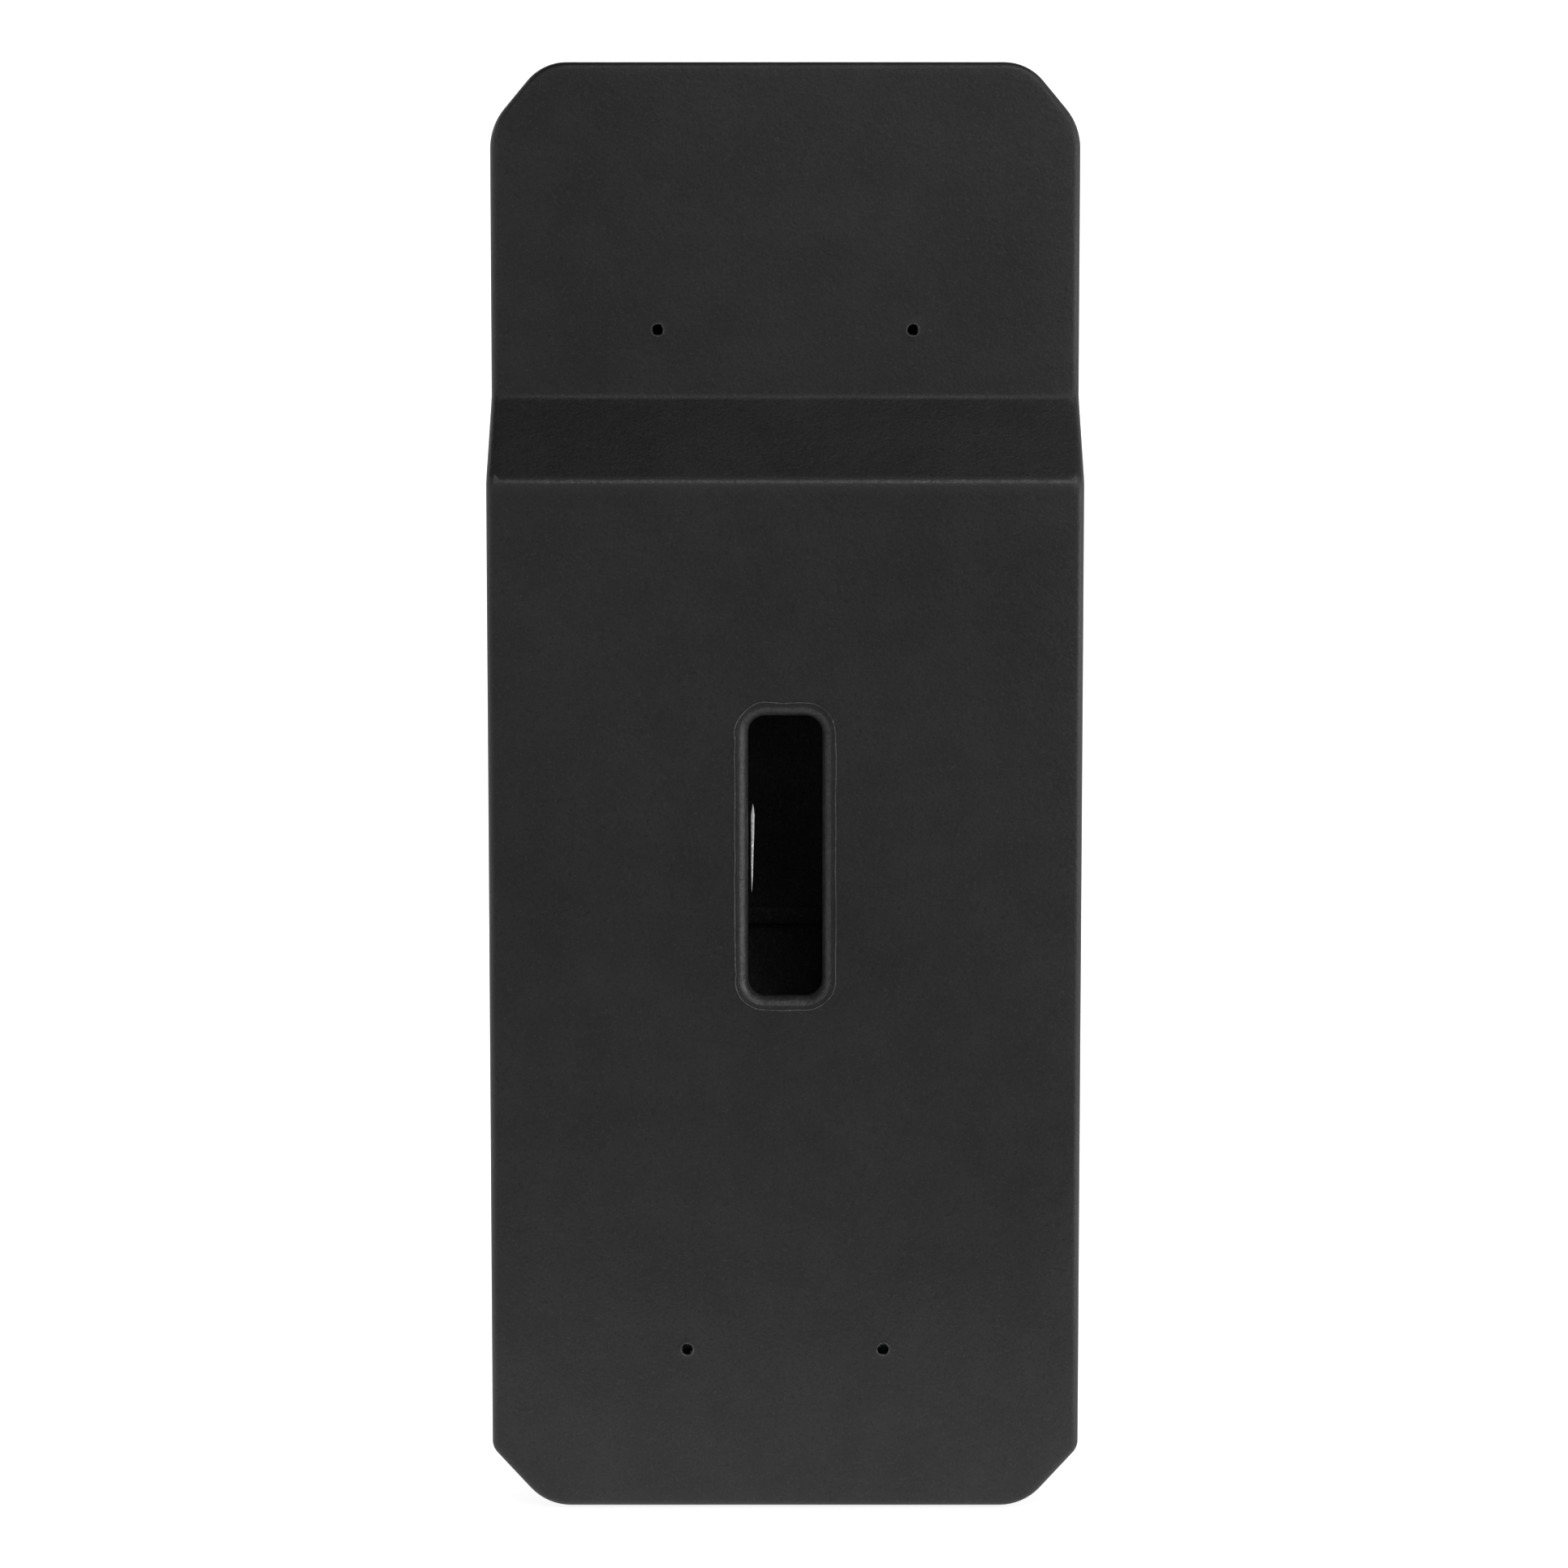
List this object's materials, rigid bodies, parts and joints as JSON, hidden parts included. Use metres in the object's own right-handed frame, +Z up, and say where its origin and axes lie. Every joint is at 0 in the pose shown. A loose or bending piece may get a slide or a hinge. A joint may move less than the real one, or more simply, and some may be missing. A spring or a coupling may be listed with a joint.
{
  "type": "wall-hung ashtray bin",
  "caption": "Wall-hung moulded ashtray bin with a hooded mouth, sloping stubbing plate, lockable side-hinged door and a lift-out liner.",
  "frame": {"origin": "midway between the two lower fixing holes, on the wall plane", "axes": "+X to the right seen from the front, +Y into the wall, +Z up; the front faces -Y"},
  "size_m": [0.3, 0.1528, 0.7363],
  "materials": {
    "black_plastic": "fine moulded grain, low sheen",
    "stainless": "brushed",
    "galvanised": "galvanised, faint spangle",
    "zinc": "zinc plated, satin",
    "lock_chrome": "polished plate",
    "lock_brass": "worn brass",
    "rivet_aluminium": "satin",
    "sign_aluminium": "fine brushed, blank"
  },
  "bodies": {
    "cabinet": {"body_shell": "black_plastic", "stub_plate": "stainless", "stub_plate_screws": "stainless", "butt_chute": "galvanised", "hinge_body_leaves": "stainless", "hinge_pins": "stainless", "hinge_body_rivets": "rivet_aluminium", "lock_keeper": "galvanised", "lock_keeper_rivets": "rivet_aluminium", "liner_shelf": "galvanised", "liner_shelf_rivets": "rivet_aluminium", "sign_plate": "sign_aluminium", "sign_plate_rivets": "rivet_aluminium"},
    "door": {"door_panel": "black_plastic", "hinge_door_leaves": "stainless", "hinge_door_rivets": "rivet_aluminium", "lock_barrel": "lock_chrome", "lock_nut": "zinc"},
    "lock": {"lock_plug": "lock_brass", "lock_cam": "zinc", "lock_cam_screw": "zinc"},
    "liner": {"liner_bucket": "galvanised", "liner_ears": "galvanised", "liner_ear_rivets": "rivet_aluminium"},
    "bail": {"liner_handle": "zinc"}
  },
  "joints": [
    {"name": "door_hinge", "type": "hinge", "parent": "cabinet", "child": "door", "pos_m": [-0.119, -0.1345, 0.146], "axis": [0, 0, -1], "range_deg": [0, 110]},
    {"name": "lock_turn", "type": "hinge", "parent": "door", "child": "lock", "pos_m": [0.092, -0.13, 0.248], "axis": [0, -1, 0], "range_deg": [0, 90]},
    {"name": "liner_lift", "type": "slide", "parent": "cabinet", "child": "liner", "axis": [0, 0, 1], "range_m": [0, 0.02]},
    {"name": "handle_swing", "type": "hinge", "parent": "liner", "child": "bail", "pos_m": [0, -0.063, 0.1618], "axis": [-1, 0, 0], "range_deg": [0, 180]}
  ]
}
